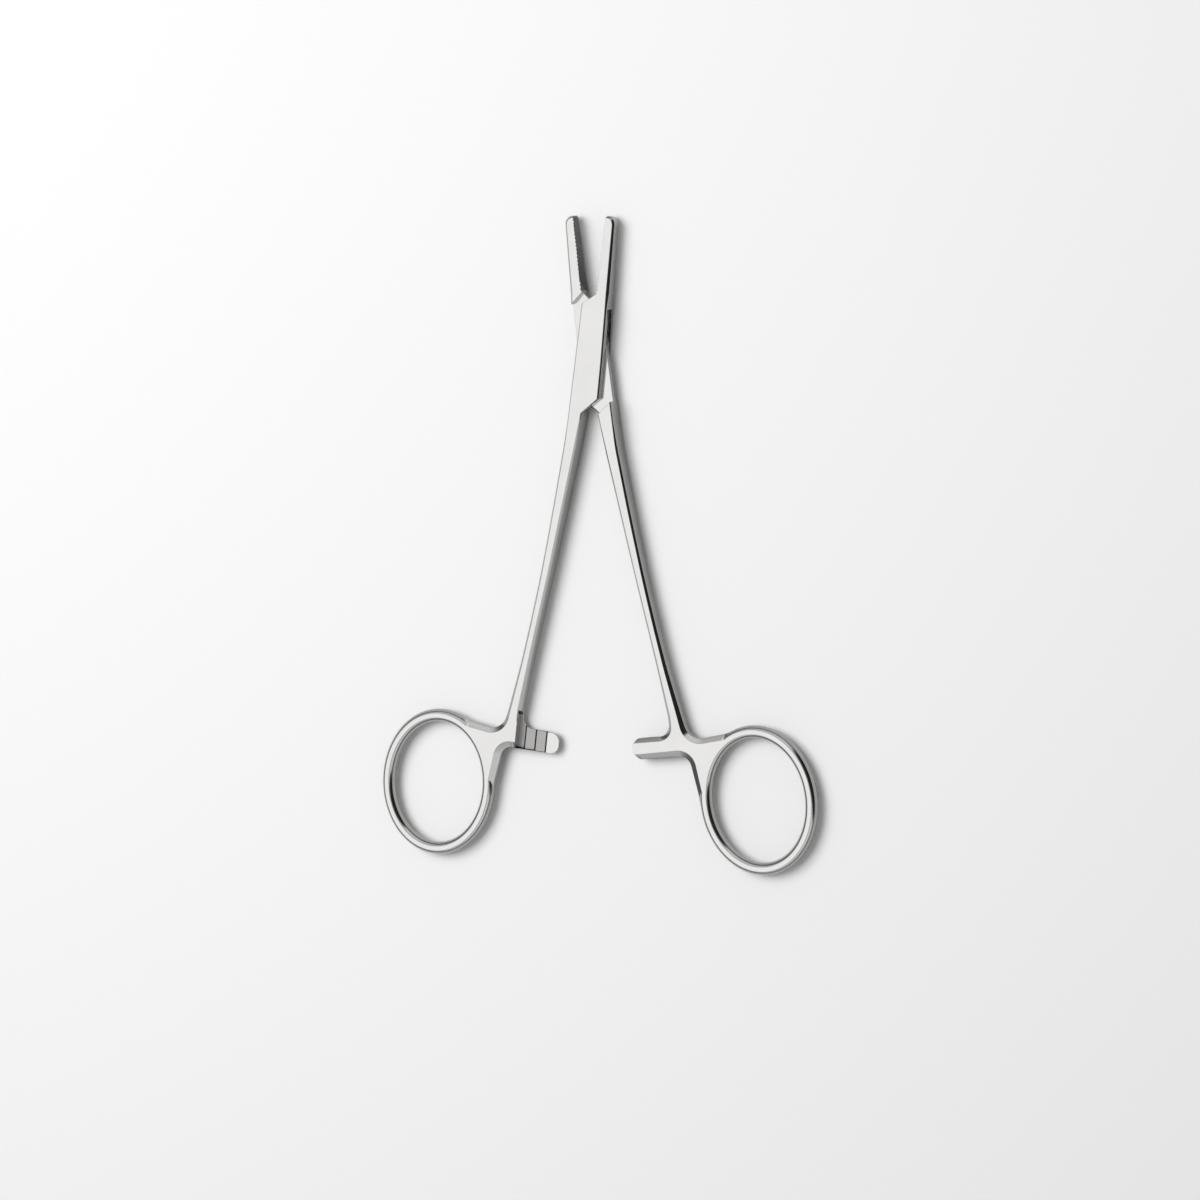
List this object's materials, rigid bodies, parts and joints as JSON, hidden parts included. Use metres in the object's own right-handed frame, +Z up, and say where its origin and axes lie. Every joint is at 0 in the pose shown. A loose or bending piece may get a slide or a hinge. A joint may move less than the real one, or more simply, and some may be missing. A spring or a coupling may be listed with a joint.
{
  "type": "surgical needle holder",
  "caption": "Surgical needle holder with a box lock, cross-cut straight jaws, finger rings and a ratchet between its shanks.",
  "frame": {"origin": "on the pivot axis, level with the underside of the box, on which the instrument lies", "axes": "+Y from the finger rings to the jaws, between the two halves; +X to the right as seen from above, the box half's jaw on that side; +Z up, along the pivot pin"},
  "size_m": [0.1002, 0.1365, 0.0044],
  "materials": {
    "box_half_steel": "satin",
    "through_half_steel": "satin",
    "pin_steel": "satin, ground flush with the box"
  },
  "bodies": {
    "box_body": {"box_half": "box_half_steel", "pivot_pin": "pin_steel"},
    "through_body": {"through_half": "through_half_steel"}
  },
  "joints": [
    {"name": "box_lock", "type": "hinge", "parent": "box_body", "child": "through_body", "pos_m": [0, 0, 0.0022], "axis": [0, 0, 1], "range_deg": [-13.84, 31]}
  ]
}
